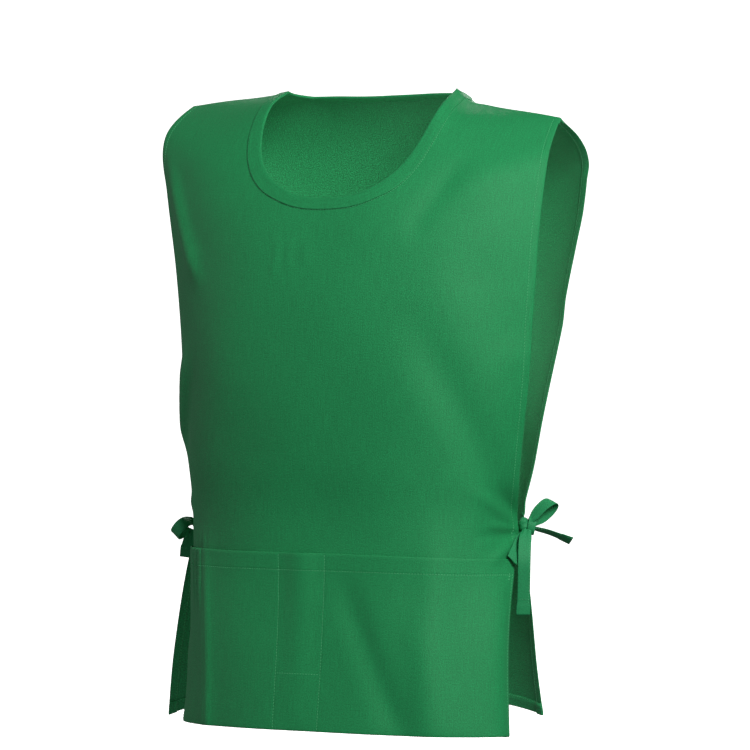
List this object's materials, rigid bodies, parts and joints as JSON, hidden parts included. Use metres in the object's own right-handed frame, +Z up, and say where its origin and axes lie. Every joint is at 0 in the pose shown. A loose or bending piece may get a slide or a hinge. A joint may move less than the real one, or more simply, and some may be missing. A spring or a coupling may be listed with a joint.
{
  "type": "cobbler apron",
  "caption": "Sleeveless tabard apron of woven cloth: scooped banded neck, open sides closed by cloth tie bows, patch pocket across the lower front.",
  "frame": {"origin": "midway between the two points where shoulder seam and neckline meet, at the height of the shoulders that the apron hangs from", "axes": "+Z up, the front faces -Y, +X is the wearer's left"},
  "size_m": [0.4523, 0.2583, 0.664],
  "materials": {
    "front_cloth": "matte woven cotton poplin",
    "back_cloth": "matte woven cotton poplin",
    "band_cloth": "matte woven cotton poplin",
    "pocket_cloth": "matte woven cotton poplin",
    "tie_cloth": "matte woven cotton poplin"
  },
  "bodies": {
    "root": {"front_panel": "front_cloth", "back_panel": "back_cloth", "front_neck_band": "band_cloth", "back_neck_band": "band_cloth", "front_pocket": "pocket_cloth", "left_bow_front_strap": "tie_cloth", "left_bow_back_strap": "tie_cloth", "left_bow_upper_loop": "tie_cloth", "left_bow_lower_loop": "tie_cloth", "left_bow_long_tail": "tie_cloth", "left_bow_short_tail": "tie_cloth", "left_bow_knot": "tie_cloth", "right_bow_front_strap": "tie_cloth", "right_bow_back_strap": "tie_cloth", "right_bow_upper_loop": "tie_cloth", "right_bow_lower_loop": "tie_cloth", "right_bow_long_tail": "tie_cloth", "right_bow_short_tail": "tie_cloth", "right_bow_knot": "tie_cloth"}
  },
  "joints": []
}
